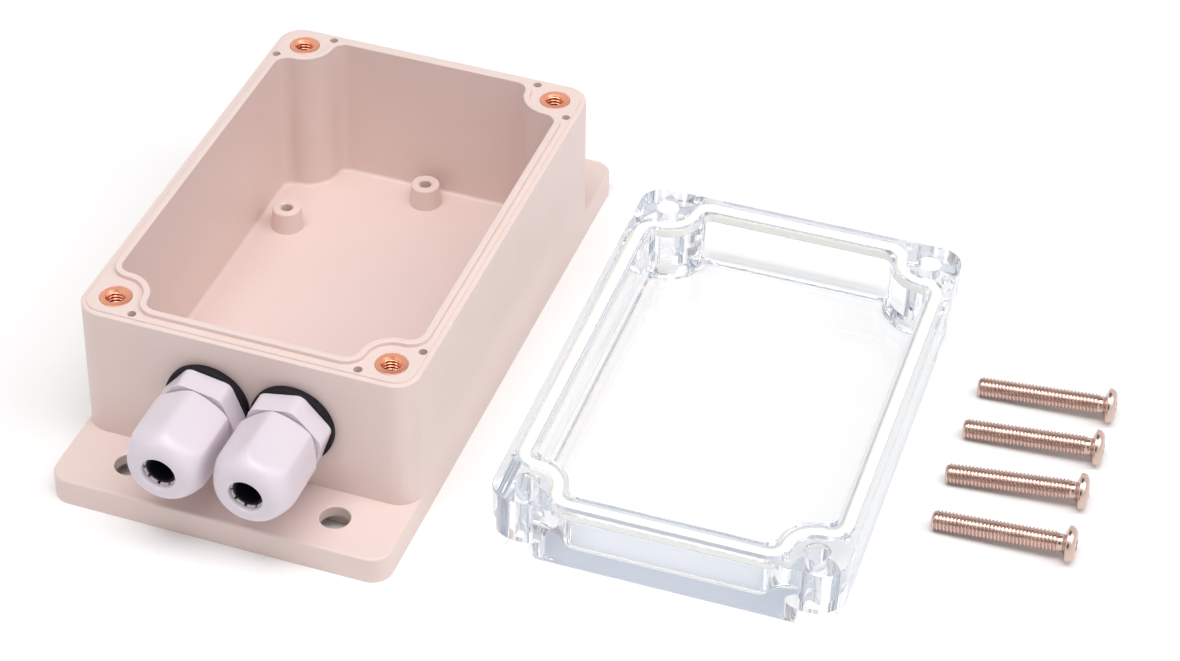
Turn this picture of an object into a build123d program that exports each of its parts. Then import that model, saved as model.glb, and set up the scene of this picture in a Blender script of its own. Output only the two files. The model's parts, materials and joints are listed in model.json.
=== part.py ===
"""Small wall-mounting enclosure with two cable glands, shown open.

The box stands on its flat mounting face. Its clear lid lies upside down beside it with the
sealing cord in its groove, and the four lid screws lie next to the lid.

Frame: X across the box, Y along it (the glands are on the -Y end wall), Z up. The origin is
the middle of the mounting face. All sizes are in millimetres.
"""

import math
import os

from build123d import *

os.makedirs("parts", exist_ok=True)

# Box moulding
overall_length = 132.2
ear_width = 68.7
ear_reach = 15.45
ear_height = 5.8
ear_corner_r = 4.0
ear_edge_r = 0.5
ear_hole_r = 2.95
ear_hole_inset_x = 13.3
ear_hole_inset_y = 8.5
ear_skin = 2.3
ear_pocket_wall = 2.4
ear_pocket_corner_r = 2.0
side_draft = 0.35
box_corner_r = 5.0
side_wall = 3.45
end_wall = 3.85
rim_z = 35.2
rim_step_height = 0.3
rim_step_width = 1.0
rim_step_corner_r = 4.0
floor_thickness = 3.4

# Screw bosses and sealing tongue
screw_inset_x = 6.2
screw_inset_y = 5.95
boss_r = 6.5
boss_blend_r = 2.6
tongue_width = 1.35
tongue_height = 0.9
tongue_edge_r = 0.25

# Locating pins of the lid, two beside each screw, and their holes in the rim
pin_r = 0.7
pin_height = 1.2
pin_clearance = 0.15
pin_hole_depth = 3.0
pin_beside = 5.1
pin_out_x = 4.2
pin_out_y = 3.7

# Threaded inserts
insert_r = 3.05
insert_length = 9.0
insert_bore_r = 1.65
insert_lead_in = 0.35
insert_waist_depth = 0.3
insert_waist_length = 1.4
insert_clearance = 0.04

# Circuit board standoffs
standoff_side_inset = 6.35
standoff_side_y = 24.2
standoff_end_inset = 4.7
standoff_top_z = 8.2
standoff_top_r = 3.4
standoff_base_r = 4.2
standoff_pilot_r = 1.25
standoff_pilot_depth = 4.0

# Lid, and where it lies beside the box
lid_height = 14.9
lid_plate = 3.0
lid_face_inset = 0.35
lid_edge_r = 2.5
lid_lip = 0.75
lid_boss_ease = 1.3
lid_floor_blend_r = 2.4
groove_width = 2.5
groove_depth = 2.4
lid_gap = 13.35
lid_y = -0.1
lid_turn = 0.8

# Sealing cord in the lid groove
cord_height = 2.2
cord_clearance = 0.1
cord_edge_r = 0.5

# Lid screws
screw_length = 25.0
screw_r = 2.0
screw_neck_r = 1.7
screw_neck_length = 0.8
screw_tip_chamfer = 0.5
screw_head_r = 3.5
screw_head_height = 2.5
screw_head_edge_r = 1.8
screw_recess_width = 0.9
screw_recess_reach = 1.6
screw_recess_depth = 1.6
screw_recess_taper = 8
screw_hole_clearance = 0.3
screw_tip_clearance = 0.2
screw_end_room = 2.0
counterbore_clearance = 1.1
counterbore_depth = 4.4

# The loose screws on the table: tip of the first, step to the next, and how each one lies
screw_tip_gap = 9.0
screw_row_y = 26.2
screw_row_step = 13.7
screw_places = (
    (0.0, 0.0, 3.2),
    (0.98, 0.02, 3.7),
    (2.0, 0.0, 4.9),
    (3.0, 0.08, 1.6),
)

# Cable glands, measured outward from the face of the end wall
gland_names = ("left", "right")
gland_share = 0.1235
gland_gap = 0.45
gland_z = 20.8
gland_hole_clearance = 0.2
gland_thread_r = 6.2
gland_thread_inside = 10.0
gland_flange_length = 4.8
gland_flats = 15.0
gland_flange_turns = (50.0, 12.0)
gland_nose_r = 5.9
gland_nose_length = 7.4
gland_socket_r = 4.95
gland_socket_depth = 4.9
gland_way_r = 4.0
washer_thickness = 1.7
washer_clearance = 0.1
locknut_gap = 0.65
locknut_thickness = 4.5
locknut_corner_r = 9.2
thread_clearance = 0.05

# Dome nut, sealing sleeve and clamping fingers of each gland
nut_turns = (27.0, 35.0)
nut_gap = 0.4
nut_length = 15.5
nut_flats = 14.8
nut_corner_inset = 0.1
nut_rear_r = 7.7
nut_rear_bevel = 0.5
nut_straight = 9.0
nut_bulge_at = 13.5
nut_bulge_r = 7.15
nut_nose_r = 5.5
nut_mouth_r = 3.3
nut_lip = 1.1
nut_cone_rear_r = 5.45
nut_cone_front_r = 4.45
finger_count = 9
finger_slot = 0.55
finger_wall = 1.15
finger_tip_r = 3.05
finger_tip_length = 1.0
finger_clearance = 0.1
sleeve_wall = 1.05
sleeve_clearance = 0.1

# Heights and places that follow from the sizes above
box_length = overall_length - 2 * ear_reach
box_top_width = ear_width - 2 * side_draft
opening_width = box_top_width - 2 * side_wall
opening_length = box_length - 2 * end_wall
screw_spacing_x = box_top_width - 2 * screw_inset_x
screw_spacing_y = box_length - 2 * screw_inset_y
rim_shelf_z = rim_z - rim_step_height
tongue_z = rim_z + tongue_height
screw_in_box = screw_length - (lid_height - counterbore_depth)
insert_hole_r = insert_r + insert_clearance
pin_hole_r = pin_r + pin_clearance
lid_x = ear_width / 2 + lid_gap + box_top_width / 2
gland_corner_r = gland_share * box_top_width
gland_spacing = 2 * gland_corner_r + gland_gap
locknut_flats = gland_spacing - locknut_gap
nut_corner_r = gland_corner_r - nut_corner_inset
wall_y = -box_length / 2
gland_hole_r = gland_thread_r + gland_hole_clearance
flange_start = washer_thickness
flange_end = flange_start + gland_flange_length
nose_end = flange_end + gland_nose_length
socket_start = nose_end - gland_socket_depth
nut_start = flange_end + nut_gap
nut_end = nut_start + nut_length
lip_start = nut_end - nut_lip
finger_start = socket_start + finger_clearance
finger_root = nose_end - finger_clearance
finger_end = lip_start - finger_clearance
claw_r = gland_socket_r - finger_clearance
claw_bore_r = claw_r - finger_wall
finger_front_r = nut_cone_front_r - 2 * finger_clearance
sleeve_r = claw_bore_r - sleeve_clearance
sleeve_bore_r = sleeve_r - sleeve_wall
sleeve_end = finger_end - finger_tip_length - sleeve_clearance

corner_signs = {
    "front_left": (-1, -1),
    "front_right": (1, -1),
    "back_left": (-1, 1),
    "back_right": (1, 1),
}

# Two pins beside each screw, except one that is left out so that the lid fits one way only
pin_places = [
    (sx * (screw_spacing_x / 2 + dx), sy * (screw_spacing_y / 2 + dy))
    for sx, sy in corner_signs.values()
    for dx, dy in ((pin_out_x, -pin_beside), (-pin_beside, pin_out_y))
]
rim_pin_places = pin_places[1:]
lid_pin_places = [(x, -y) for x, y in rim_pin_places]

standoff_side_x = opening_width / 2 - standoff_side_inset
standoff_end_y = opening_length / 2 - standoff_end_inset
standoff_places = [
    (sx * standoff_side_x, sy * standoff_side_y) for sx, sy in corner_signs.values()
] + [(0, standoff_end_y), (0, -standoff_end_y)]


def blend_centres(grow, ease=0.0):
    """Centres of the two blends beside a boss: on the long side and on the end."""
    boss_x = screw_spacing_x / 2
    boss_y = screw_spacing_y / 2
    blend = boss_blend_r + grow + ease
    reach = boss_r - grow + blend
    side_x = opening_width / 2 + grow - blend
    side_y = boss_y - math.sqrt(reach**2 - (side_x - boss_x) ** 2)
    end_y = opening_length / 2 + grow - blend
    end_x = boss_x - math.sqrt(reach**2 - (end_y - boss_y) ** 2)
    return side_x, side_y, end_x, end_y


# The pair of glands stands close to the right-hand screw boss
gland_pair_x = blend_centres(0)[2] - (gland_spacing + locknut_flats) / 2


def rim_outline(grow, ease=0.0):
    """Opening outline with the four screw bosses standing into it, moved outward by grow.

    The blends beside each boss follow the move; ease makes them larger.
    """
    half_x = opening_width / 2 + grow
    half_y = opening_length / 2 + grow
    boss_x = screw_spacing_x / 2
    boss_y = screw_spacing_y / 2
    blend = boss_blend_r + grow + ease
    side_x, side_y, end_x, end_y = blend_centres(grow, ease)
    side_angle = math.atan2(boss_y - side_y, boss_x - side_x)
    end_angle = math.atan2(boss_y - end_y, boss_x - end_x)
    arcs = (
        (side_x, side_y, blend, 0, side_angle),
        (boss_x, boss_y, boss_r - grow, side_angle - math.pi, end_angle - math.pi),
        (end_x, end_y, blend, end_angle, math.pi / 2),
    )
    with BuildSketch() as outline:
        with BuildLine():
            for sx, sy in corner_signs.values():
                for x, y, r, start, stop in arcs:
                    ThreePointArc(
                        *[
                            (sx * (x + r * math.cos(angle)), sy * (y + r * math.sin(angle)))
                            for angle in (start, (start + stop) / 2, stop)
                        ]
                    )
            for sign in (-1, 1):
                Line((sign * half_x, -side_y), (sign * half_x, side_y))
                Line((-end_x, sign * half_y), (end_x, sign * half_y))
        make_face()
    return outline.sketch


def finish(part, name):
    """Label one finished piece and write it under its node name."""
    part.label = name
    export_step(part, f"parts/{name}.step")


# Box with its mounting ears, moulded in one piece
with BuildPart() as base_box:
    with BuildSketch(Plane.XY):
        RectangleRounded(ear_width, overall_length, ear_corner_r)
    extrude(amount=ear_height)
    fillet(base_box.faces().sort_by(Axis.Z)[-1].edges(), ear_edge_r)
    with BuildSketch(Plane.XY):
        RectangleRounded(ear_width, box_length, box_corner_r)
    extrude(amount=ear_height)
    with BuildSketch(Plane.XY.offset(ear_height)):
        RectangleRounded(ear_width, box_length, box_corner_r)
    with BuildSketch(Plane.XY.offset(rim_shelf_z)):
        RectangleRounded(box_top_width, box_length, box_corner_r)
    loft(ruled=True)

    # Land that meets the lid, one step in from the outer wall, and the tongue on it
    with BuildSketch(Plane.XY.offset(rim_shelf_z)):
        RectangleRounded(
            box_top_width - 2 * rim_step_width, box_length - 2 * rim_step_width, rim_step_corner_r
        )
    extrude(amount=rim_step_height)
    with BuildSketch(Plane.XY.offset(rim_z)):
        add(rim_outline(tongue_width))
    extrude(amount=tongue_height)
    fillet(base_box.faces().sort_by(Axis.Z)[-1].outer_wire().edges(), tongue_edge_r)

    # Hollow that follows the four screw bosses down to the floor
    with BuildSketch(Plane.XY.offset(floor_thickness)):
        add(rim_outline(0))
    extrude(amount=tongue_z - floor_thickness, mode=Mode.SUBTRACT)

    # Standoffs for a circuit board
    for x, y in standoff_places:
        with BuildSketch(Plane((x, y, floor_thickness))):
            Circle(standoff_base_r)
        with BuildSketch(Plane((x, y, standoff_top_z))):
            Circle(standoff_top_r)
        loft()
        with BuildSketch(Plane((x, y, standoff_top_z))):
            Circle(standoff_pilot_r)
        extrude(amount=-standoff_pilot_depth, mode=Mode.SUBTRACT)

    # Insert seats with room for the screw tips below them
    with BuildSketch(Plane.XY.offset(rim_z)):
        with GridLocations(screw_spacing_x, screw_spacing_y, 2, 2):
            Circle(insert_hole_r)
    extrude(amount=-insert_length, mode=Mode.SUBTRACT)
    with BuildSketch(Plane.XY.offset(rim_z)):
        with GridLocations(screw_spacing_x, screw_spacing_y, 2, 2):
            Circle(screw_r + screw_tip_clearance)
    extrude(amount=-(screw_in_box + screw_end_room), mode=Mode.SUBTRACT)

    # Holes that take the lid's locating pins
    with BuildSketch(Plane.XY.offset(rim_z)):
        with Locations(*rim_pin_places):
            Circle(pin_hole_r)
    extrude(amount=-pin_hole_depth, mode=Mode.SUBTRACT)

    # Ears: fixing holes through a thin skin, hollow below
    ear_pocket_y = (overall_length - ear_reach) / 2
    with BuildSketch(Plane.XY):
        with Locations((0, ear_pocket_y), (0, -ear_pocket_y)):
            RectangleRounded(
                ear_width - 2 * ear_pocket_wall,
                ear_reach - 2 * ear_pocket_wall,
                ear_pocket_corner_r,
            )
    extrude(amount=ear_height - ear_skin, mode=Mode.SUBTRACT)
    with BuildSketch(Plane.XY):
        with GridLocations(
            ear_width - 2 * ear_hole_inset_x, overall_length - 2 * ear_hole_inset_y, 2, 2
        ):
            Circle(ear_hole_r)
    extrude(amount=ear_height, mode=Mode.SUBTRACT)

    # Gland holes through the end wall
    with BuildSketch(Plane((gland_pair_x, wall_y, gland_z), x_dir=(1, 0, 0), z_dir=(0, -1, 0))):
        with GridLocations(gland_spacing, 1, 2, 1):
            Circle(gland_hole_r)
    extrude(amount=-end_wall, mode=Mode.SUBTRACT)
finish(base_box.part, "base_box")

# Metal inserts pressed into the four bosses, flush with the rim
for corner, (sx, sy) in corner_signs.items():
    insert_x = sx * screw_spacing_x / 2
    insert_y = sy * screw_spacing_y / 2
    section = Plane((insert_x, insert_y, rim_z), x_dir=(1, 0, 0), z_dir=(0, -1, 0))
    with BuildPart() as insert:
        with BuildSketch(section):
            with BuildLine():
                Polyline(
                    (insert_bore_r + insert_lead_in, 0),
                    (insert_r, 0),
                    (insert_r, -(insert_length - insert_waist_length) / 2),
                    (insert_r - insert_waist_depth, -(insert_length - insert_waist_length) / 2),
                    (insert_r - insert_waist_depth, -(insert_length + insert_waist_length) / 2),
                    (insert_r, -(insert_length + insert_waist_length) / 2),
                    (insert_r, -insert_length),
                    (insert_bore_r, -insert_length),
                    (insert_bore_r, -insert_lead_in),
                    close=True,
                )
            make_face()
        revolve(axis=Axis((insert_x, insert_y, rim_z), (0, 0, 1)))
    finish(insert.part, f"insert_{corner}")

# Clear lid, lying on its outer face with the open side up
turn = math.radians(lid_turn)
lid_plane = Plane((lid_x, lid_y, 0), x_dir=(math.cos(turn), math.sin(turn), 0), z_dir=(0, 0, 1))
groove_inner = (tongue_width - groove_width) / 2
groove_outer = (tongue_width + groove_width) / 2
groove_z = lid_height - groove_depth
with BuildPart() as lid:
    with BuildSketch(lid_plane):
        RectangleRounded(
            box_top_width - 2 * lid_face_inset, box_length - 2 * lid_face_inset, box_corner_r
        )
    with BuildSketch(lid_plane.offset(lid_height)):
        RectangleRounded(box_top_width, box_length, box_corner_r)
    loft(ruled=True)
    fillet(lid.faces().sort_by(Axis.Z)[0].outer_wire().edges(), lid_edge_r)
    with BuildSketch(lid_plane.offset(lid_plate)):
        add(rim_outline(groove_inner - lid_lip, lid_boss_ease))
    extrude(amount=lid_height - lid_plate, mode=Mode.SUBTRACT)
    lid_floor = lid.faces().sort_by_distance((lid_x, lid_y, lid_plate))[0]
    fillet(lid_floor.edges(), lid_floor_blend_r)

    # Groove for the sealing cord, in line with the tongue on the box
    with BuildSketch(lid_plane.offset(groove_z)):
        add(rim_outline(groove_outer))
        add(rim_outline(groove_inner), mode=Mode.SUBTRACT)
    extrude(amount=groove_depth, mode=Mode.SUBTRACT)

    # Screw holes, with a counterbore for each head in the outer face
    with BuildSketch(lid_plane):
        with GridLocations(screw_spacing_x, screw_spacing_y, 2, 2):
            Circle(screw_r + screw_hole_clearance)
    extrude(amount=lid_height, mode=Mode.SUBTRACT)
    with BuildSketch(lid_plane):
        with GridLocations(screw_spacing_x, screw_spacing_y, 2, 2):
            Circle(screw_head_r + counterbore_clearance)
    extrude(amount=counterbore_depth, mode=Mode.SUBTRACT)

    # Locating pins
    with BuildSketch(lid_plane.offset(lid_height)):
        with Locations(*lid_pin_places):
            Circle(pin_r)
    extrude(amount=pin_height)
finish(lid.part, "lid")

# Sealing cord, one endless loop in the lid groove
with BuildPart() as lid_gasket:
    with BuildSketch(lid_plane.offset(groove_z)):
        add(rim_outline(groove_outer - cord_clearance))
        add(rim_outline(groove_inner + cord_clearance), mode=Mode.SUBTRACT)
    extrude(amount=cord_height)
    fillet(lid_gasket.faces().sort_by(Axis.Z)[-1].edges(), cord_edge_r)
finish(lid_gasket.part, "lid_gasket")

# Lid screws, each resting on the rim of its head and the end of its thread
screw_slope = math.atan2(screw_head_r - screw_r, screw_length - screw_tip_chamfer)
screw_reach = screw_length * math.cos(screw_slope)
for number, (step, shift, heading) in enumerate(screw_places, start=1):
    away = math.radians(heading)
    towards_head = (
        math.cos(away) * math.cos(screw_slope),
        math.sin(away) * math.cos(screw_slope),
        math.sin(screw_slope),
    )
    tip_x = lid_x + box_top_width / 2 + screw_tip_gap * (1 + shift)
    tip_y = screw_row_y - screw_row_step * step
    screw_plane = Plane(
        (
            tip_x + screw_reach * math.cos(away),
            tip_y + screw_reach * math.sin(away),
            screw_head_r * math.cos(screw_slope),
        ),
        x_dir=(-math.sin(away), math.cos(away), 0),
        z_dir=towards_head,
    )
    with BuildPart() as screw:
        with BuildSketch(screw_plane):
            Circle(screw_head_r)
        extrude(amount=screw_head_height)
        crown = screw.faces().sort_by(Axis(screw_plane.origin, screw_plane.z_dir))[-1]
        fillet(crown.edges(), screw_head_edge_r)
        with BuildSketch(screw_plane):
            Circle(screw_neck_r)
        extrude(amount=-screw_neck_length)
        with BuildSketch(screw_plane.offset(-screw_neck_length)):
            Circle(screw_r)
        extrude(amount=-(screw_length - screw_neck_length))
        tip = screw.faces().sort_by(Axis(screw_plane.origin, screw_plane.z_dir))[0]
        chamfer(tip.edges(), screw_tip_chamfer)
        with BuildSketch(screw_plane.offset(screw_head_height)):
            Rectangle(2 * screw_recess_reach, screw_recess_width)
            Rectangle(screw_recess_width, 2 * screw_recess_reach)
        extrude(amount=-screw_recess_depth, taper=screw_recess_taper, mode=Mode.SUBTRACT)
    finish(screw.part, f"lid_screw_{number}")

# Cable glands
for side, name in enumerate(gland_names):
    gland_x = gland_pair_x + (side - 0.5) * gland_spacing
    gland_origin = (gland_x, wall_y, gland_z)
    gland_axis = Axis(gland_origin, (0, -1, 0))
    gland_plane = Plane(gland_origin, x_dir=(1, 0, 0), z_dir=(0, -1, 0))
    gland_section = Plane(gland_origin, x_dir=(1, 0, 0), z_dir=(0, 0, -1))

    # Flat sealing washer against the wall
    with BuildPart() as washer:
        with BuildSketch(gland_plane):
            Circle(gland_corner_r)
            Circle(gland_thread_r + washer_clearance, mode=Mode.SUBTRACT)
        extrude(amount=washer_thickness)
    finish(washer.part, f"gland_washer_{name}")

    # Body: threaded shank through the wall, hexagonal flange and threaded nose
    with BuildPart() as gland_body:
        with BuildSketch(gland_plane.offset(flange_start)):
            RegularPolygon(
                gland_flats / 2, 6, major_radius=False, rotation=gland_flange_turns[side]
            )
            Circle(gland_corner_r, mode=Mode.INTERSECT)
        extrude(amount=gland_flange_length)
        with BuildSketch(gland_plane.offset(-gland_thread_inside)):
            Circle(gland_thread_r)
        extrude(amount=gland_thread_inside + flange_start)
        with BuildSketch(gland_plane.offset(flange_end)):
            Circle(gland_nose_r)
        extrude(amount=gland_nose_length)
        with BuildSketch(gland_plane.offset(-gland_thread_inside)):
            Circle(gland_way_r)
        extrude(amount=gland_thread_inside + nose_end, mode=Mode.SUBTRACT)
        with BuildSketch(gland_plane.offset(socket_start)):
            Circle(gland_socket_r)
        extrude(amount=gland_socket_depth, mode=Mode.SUBTRACT)
    finish(gland_body.part, f"gland_body_{name}")

    # Locknut inside the box
    with BuildPart() as locknut:
        with BuildSketch(gland_plane.offset(-end_wall)):
            RegularPolygon(locknut_flats / 2, 6, major_radius=False, rotation=30)
            Circle(locknut_corner_r, mode=Mode.INTERSECT)
            Circle(gland_thread_r + thread_clearance, mode=Mode.SUBTRACT)
        extrude(amount=-locknut_thickness)
    finish(locknut.part, f"gland_locknut_{name}")

    # Clamping fingers on a ring that sits in the nose
    with BuildPart() as claw:
        with BuildSketch(gland_section):
            with BuildLine():
                Polyline(
                    (claw_bore_r, finger_start),
                    (claw_r, finger_start),
                    (claw_r, finger_root),
                    (finger_front_r, finger_end - finger_clearance),
                    (finger_front_r - finger_clearance, finger_end),
                    (finger_tip_r, finger_end),
                    (finger_tip_r, finger_end - finger_tip_length),
                    (claw_bore_r, finger_end - finger_tip_length),
                    close=True,
                )
            make_face()
        revolve(axis=gland_axis)
        with BuildSketch(gland_plane.offset(finger_root)):
            with PolarLocations(claw_r / 2, finger_count):
                Rectangle(2 * claw_r, finger_slot)
            Circle(finger_tip_r / 2, mode=Mode.SUBTRACT)
        extrude(amount=finger_end - finger_root, mode=Mode.SUBTRACT)
    finish(claw.part, f"gland_claw_{name}")

    # Rubber sleeve that closes on the cable
    with BuildPart() as sleeve:
        with BuildSketch(gland_plane.offset(finger_start)):
            Circle(sleeve_r)
            Circle(sleeve_bore_r, mode=Mode.SUBTRACT)
        extrude(amount=sleeve_end - finger_start)
    finish(sleeve.part, f"gland_seal_{name}")

    # Dome nut: hexagon that runs out into a round nose, hollow inside with a lip at the mouth
    with BuildPart() as dome_nut:
        with BuildSketch(gland_plane.offset(nut_start)):
            RegularPolygon(nut_flats / 2, 6, major_radius=False, rotation=nut_turns[side])
        extrude(amount=nut_length)
        with BuildSketch(gland_section):
            with BuildLine():
                Polyline(
                    (0, nut_end),
                    (0, nut_start),
                    (nut_rear_r, nut_start),
                    (nut_corner_r, nut_start + nut_rear_bevel),
                    (nut_corner_r, nut_start + nut_straight),
                )
                ThreePointArc(
                    (nut_corner_r, nut_start + nut_straight),
                    (nut_bulge_r, nut_start + nut_bulge_at),
                    (nut_nose_r, nut_end),
                )
                Line((nut_nose_r, nut_end), (0, nut_end))
            make_face()
        revolve(axis=gland_axis, mode=Mode.INTERSECT)
        with BuildSketch(gland_section):
            with BuildLine():
                Polyline(
                    (0, nut_start),
                    (gland_nose_r + thread_clearance, nut_start),
                    (gland_nose_r + thread_clearance, nose_end + nut_gap),
                    (nut_cone_rear_r, nose_end + nut_gap),
                    (nut_cone_front_r, lip_start),
                    (nut_mouth_r, lip_start),
                    (nut_mouth_r, nut_end),
                    (0, nut_end),
                    close=True,
                )
            make_face()
        revolve(axis=gland_axis, mode=Mode.SUBTRACT)
    finish(dome_nut.part, f"gland_nut_{name}")
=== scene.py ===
"""Looks of a small wall-mounting enclosure with two cable glands, shown open.

The box stands on its mounting face, its clear lid lies upside down beside it with the sealing
cord in its groove, and the four lid screws lie next to the lid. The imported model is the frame:
every piece here stands where its CAD node stands and rides on the same body.

Sizes in this file are millimetres, as in the part's source, and are turned to metres when a
mesh is made. Angles are degrees unless a name says otherwise.
"""

import json
import math

import bpy
import numpy as np
from bpy.props import FloatProperty, FloatVectorProperty, PointerProperty
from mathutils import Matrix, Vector

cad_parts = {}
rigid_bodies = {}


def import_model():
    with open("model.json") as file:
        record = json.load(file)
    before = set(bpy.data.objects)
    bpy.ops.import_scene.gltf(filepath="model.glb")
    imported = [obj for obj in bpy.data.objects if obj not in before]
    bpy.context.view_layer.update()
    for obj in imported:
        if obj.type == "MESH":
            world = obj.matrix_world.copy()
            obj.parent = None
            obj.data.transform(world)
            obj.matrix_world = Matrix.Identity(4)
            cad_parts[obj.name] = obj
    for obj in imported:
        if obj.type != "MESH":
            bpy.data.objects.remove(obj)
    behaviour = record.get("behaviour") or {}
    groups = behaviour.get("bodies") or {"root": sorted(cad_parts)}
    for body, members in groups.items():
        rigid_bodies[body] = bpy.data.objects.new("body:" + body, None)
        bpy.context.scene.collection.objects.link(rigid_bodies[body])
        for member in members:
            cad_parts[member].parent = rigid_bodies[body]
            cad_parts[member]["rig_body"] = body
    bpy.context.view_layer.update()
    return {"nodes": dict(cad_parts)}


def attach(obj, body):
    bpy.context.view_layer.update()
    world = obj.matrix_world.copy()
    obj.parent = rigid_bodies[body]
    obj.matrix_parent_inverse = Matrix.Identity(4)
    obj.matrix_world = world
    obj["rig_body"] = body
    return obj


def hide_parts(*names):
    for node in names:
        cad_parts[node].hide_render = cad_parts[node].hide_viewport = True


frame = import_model()

bl_info = {
    "name": "Waterproof enclosure",
    "version": (1, 0, 0),
    "blender": (4, 5, 0),
    "location": "3D View > Sidebar > Enclosure",
    "description": "Builds the looks of an open waterproof enclosure around its packed model",
    "category": "Add Mesh",
}

# Box moulding
box_half_x = 34.35
box_top_half_x = 34.0
box_half_y = 50.65
box_corner_r = 5.0
ear_half_y = 66.1
ear_corner_r = 4.0
ear_height = 5.8
ear_edge_r = 0.5
ear_skin = 2.3
ear_lap = 1.8
ear_hole_r = 2.95
ear_holes = [(x, y) for x in (-21.05, 21.05) for y in (-57.6, 57.6)]
ear_pocket = (31.95, 5.325, 2.0)
ear_pocket_y = 58.375
rim_z = 35.2
shelf_z = 34.9
shelf_half_x, shelf_half_y, shelf_corner_r = 33.0, 49.65, 4.0
floor_z = 3.4
floor_blend_r = 0.8
opening_half_x, opening_half_y = 30.55, 46.8

# Screw bosses, sealing tongue and what is sunk into the rim
boss_x, boss_y, boss_r = 27.8, 44.7, 6.5
boss_blend_r = 2.6
tongue_width = 1.35
tongue_z = 36.1
seat_r, seat_depth = 3.09, 9.0
tip_passage_r, tip_passage_z = 2.2, 18.7
pin_hole_r, pin_hole_depth = 0.85, 3.0
rim_pins = [(32.0, -39.6), (22.7, -48.4), (-22.7, -48.4), (-32.0, 39.6), (-22.7, 48.4)]
rim_pins += [(32.0, 39.6), (22.7, 48.4)]

# Standoffs for a circuit board
standoffs = [(x, y) for x in (-24.2, 24.2) for y in (-24.2, 24.2)] + [(0, 42.1), (0, -42.1)]
standoff_z, standoff_top_r, standoff_base_r = 8.2, 3.0, 3.45
pilot_r, pilot_depth = 1.25, 4.0

# Threaded inserts
insert_r, insert_length, insert_bore_r = 3.05, 9.0, 1.65
insert_waist_r, insert_waist_half = 2.75, 0.7
insert_lead_in = 0.35

# Lid on its outer face, in its own frame
lid_place, lid_turn = (81.7, -0.1), 0.8
lid_height = 14.9
lid_plate = 3.0
lid_face_half_x, lid_face_half_y = 33.65, 50.3
lid_edge_r = 2.5
lid_boss_ease = 1.3
lid_floor_blend_r = 2.4
groove_outer, groove_inner, groove_z = 1.925, -0.575, 12.5
cavity_grow = -1.325
lid_hole_r, counterbore_r, counterbore_depth = 2.3, 4.6, 4.4
lid_pin_r, lid_pin_height = 0.7, 1.2

# Sealing cord
cord_outer, cord_inner = 1.825, -0.475
cord_low, cord_high = 12.52, 14.7
cord_edge_r = 0.75

# Lid screws: place of each tip on the table and heading of the head from there
screw_r, screw_length, screw_neck_r, screw_neck_length = 2.0, 25.0, 1.7, 0.8
screw_tip_chamfer, screw_run_out = 0.5, 0.25
screw_head_r, screw_head_height, screw_head_edge_r = 3.5, 2.5, 1.4
screw_cone = 0.85
recess_half_width, recess_reach, recess_depth, recess_taper = 0.45, 1.6, 1.6, 8
screw_tips = [(124.7, 26.2, 3.2), (124.88, 12.774, 3.7), (124.7, -1.2, 4.9), (125.42, -14.9, 1.6)]

# Cable glands, measured outward from the face of the end wall
gland_x = {"left": -6.8303, "right": 10.4157}
gland_z = 20.8
gland_corner_r = 8.398
gland_hole_r, gland_hole_depth = 6.4, 6.0
washer_thickness, washer_bore_r = 1.7, 6.3
flange_end, flange_flats = 6.5, 15.0
flange_turns = {"left": 50.0, "right": 12.0}
shank_r, shank_start = 6.2, -10.0
nose_r, nose_end = 5.9, 13.9
shank_groove, nose_groove = 0.55, 0.5
socket_r, socket_start, way_r = 4.95, 9.0, 4.0
locknut_flats, locknut_corner_r, locknut_bore_r, locknut_turn = 16.596, 9.2, 6.25, 30.0
locknut_start, locknut_end = -3.85, -8.35
nut_turns = {"left": 27.0, "right": 35.0}
nut_start, nut_end, nut_flats = 6.9, 22.4, 14.8
nut_rear_r, nut_corner_r, nut_straight_end = 7.7, 8.298, 15.9
nut_bulge_r, nut_bulge_at, nut_nose_r, nut_mouth_r = 7.15, 20.4, 5.5, 3.3
nut_nose_round, nut_mouth_round = 3.0, 0.5
nut_bore_r, nut_bore_end = 5.95, 14.3
nut_cone_rear_r, nut_cone_front_r, nut_lip_start = 5.45, 4.45, 21.3
claw_start, claw_root, claw_end = 9.1, 13.8, 21.2
claw_r, claw_bore_r, claw_front_r, claw_tip_r, claw_tip_length = 4.85, 3.7, 4.25, 3.05, 1.0
finger_count, finger_slot = 9, 0.55
sleeve_start, sleeve_end, sleeve_r, sleeve_bore_r = 9.1, 20.1, 3.6, 2.55
sleeve_lip_r, sleeve_lip_end = 2.95, 20.95

# Chamfer at the mouth of a hole, and how far a joined or cut form runs past the face it meets
edge_break, past = 0.15, 1.0
# Threads: flat crest and flank as shares of half a pitch, run-out at the ends in pitches
thread_crest, thread_flank, thread_run_out = 0.4, 0.45, 0.6
# Points along a quarter of each loop
quarter_points = 150

# Sizes of the patterns in the finishes: melt flow, patches of gloss, waves in the clear plate,
# stains on metal, paper fibres, and the relief of the waves and the fibres
flow_size, patch_size, wave_size, stain_size, fibre_size = 28.0, 4.0, 9.0, 3.0, 1.5
wave_relief, fibre_relief = 0.12, 0.02

# Clear lid: absorption per metre and share of light that goes straight through each face
lid_absorption, lid_clearness = 15.0, 0.985
# Turns after which light goes straight on in the lid, and its tint at each face from there
lid_turns, lid_deep_tint = 4.5, "EFF1F5"

# Camera, worked out from the photograph's view
camera_place = (0.18880915, -0.42641726, 0.38577280)
camera_turn = (50.39724426, -1.36107667, 18.99834353)
camera_lens = 90.324

# Table: half its side, its middle, its level just under the pieces, share of light it gives back
table_half, table_middle, table_z, table_white = 4000.0, (60.0, 0.0), -0.02, 0.97
# Distances between which the table turns into the white of the studio
white_from, white_full = 240.0, 520.0
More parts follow.
